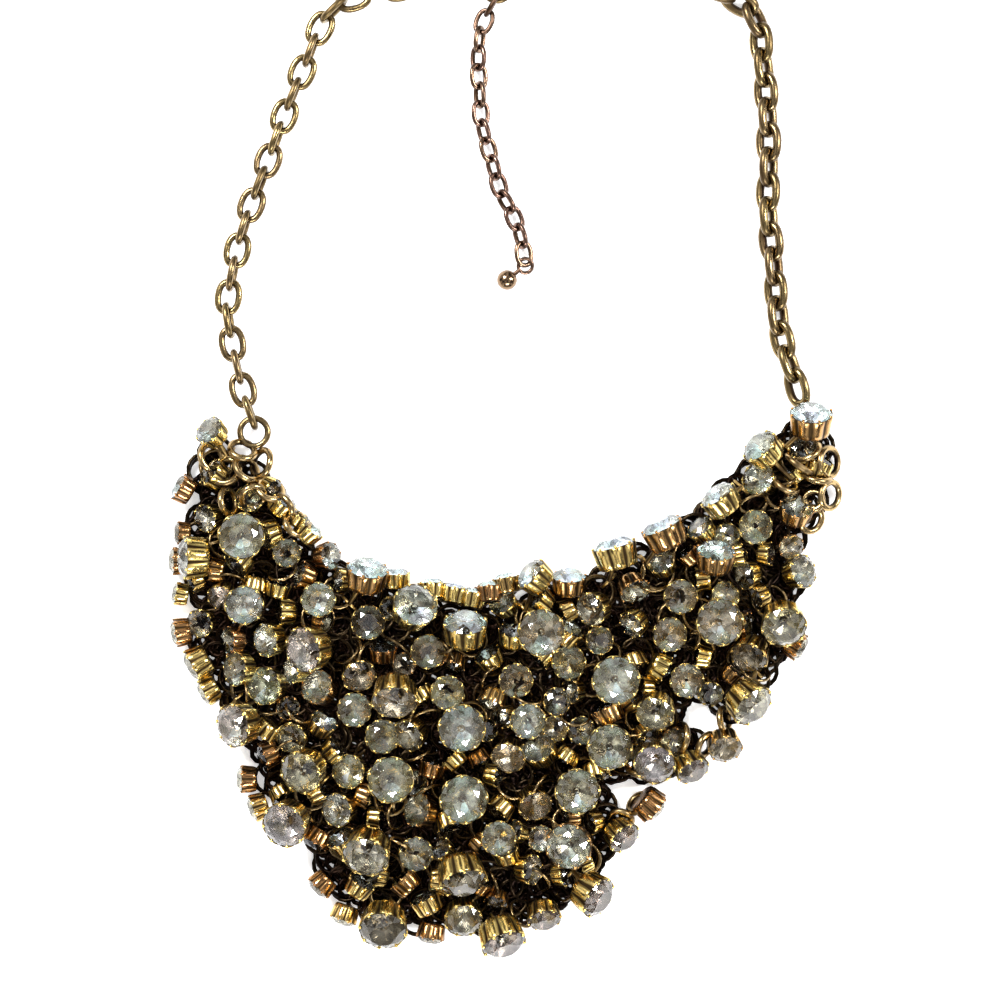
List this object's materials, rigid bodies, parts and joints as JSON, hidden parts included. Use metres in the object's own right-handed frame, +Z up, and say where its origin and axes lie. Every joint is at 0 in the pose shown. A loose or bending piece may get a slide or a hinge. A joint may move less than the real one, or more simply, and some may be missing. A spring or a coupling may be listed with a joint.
{
  "type": "bib necklace",
  "caption": "Bib necklace laid flat: clear faceted stones in fluted old-gold cups massed on a dark ring net, with oval link chains and an extension chain ending in a ball.",
  "frame": {"origin": "middle of the footprint, on the surface the necklace lies on", "axes": "+Z up off the surface, +Y from the bib towards the clasp, +X to the right as seen from above"},
  "size_m": [0.1338, 0.1984, 0.0135],
  "materials": {
    "set_stones": "clear faceted glass over foil, some with a blue and violet sheen, in fluted metal cups",
    "old_gold": "worn antique gold, darker in the hollows",
    "dark_brass": "dark aged brass"
  },
  "bodies": {
    "root": {"stone_01": "set_stones", "stone_02": "set_stones", "stone_03": "set_stones", "stone_04": "set_stones", "stone_05": "set_stones", "stone_06": "set_stones", "stone_07": "set_stones", "stone_08": "set_stones", "stone_09": "set_stones", "stone_10": "set_stones", "stone_11": "set_stones", "stone_12": "set_stones", "stone_13": "set_stones", "stone_14": "set_stones", "stone_15": "set_stones", "stone_16": "set_stones", "stone_17": "set_stones", "stone_18": "set_stones", "stone_19": "set_stones", "stone_20": "set_stones", "stone_21": "set_stones", "stone_22": "set_stones", "stone_23": "set_stones", "stone_24": "set_stones", "stone_25": "set_stones", "stone_26": "set_stones", "stone_27": "set_stones", "stone_28": "set_stones", "stone_29": "set_stones", "stone_30": "set_stones", "stone_31": "set_stones", "stone_32": "set_stones", "stone_33": "set_stones", "stone_34": "set_stones", "stone_35": "set_stones", "stone_36": "set_stones", "stone_37": "set_stones", "stone_38": "set_stones", "stone_39": "set_stones", "stone_40": "set_stones", "stone_net": "old_gold", "chain_left": "old_gold", "chain_right": "old_gold", "extension_chain": "dark_brass", "jump_ring_left": "old_gold", "extension_ring": "old_gold", "clasp": "old_gold", "end_ball": "dark_brass"}
  },
  "joints": []
}
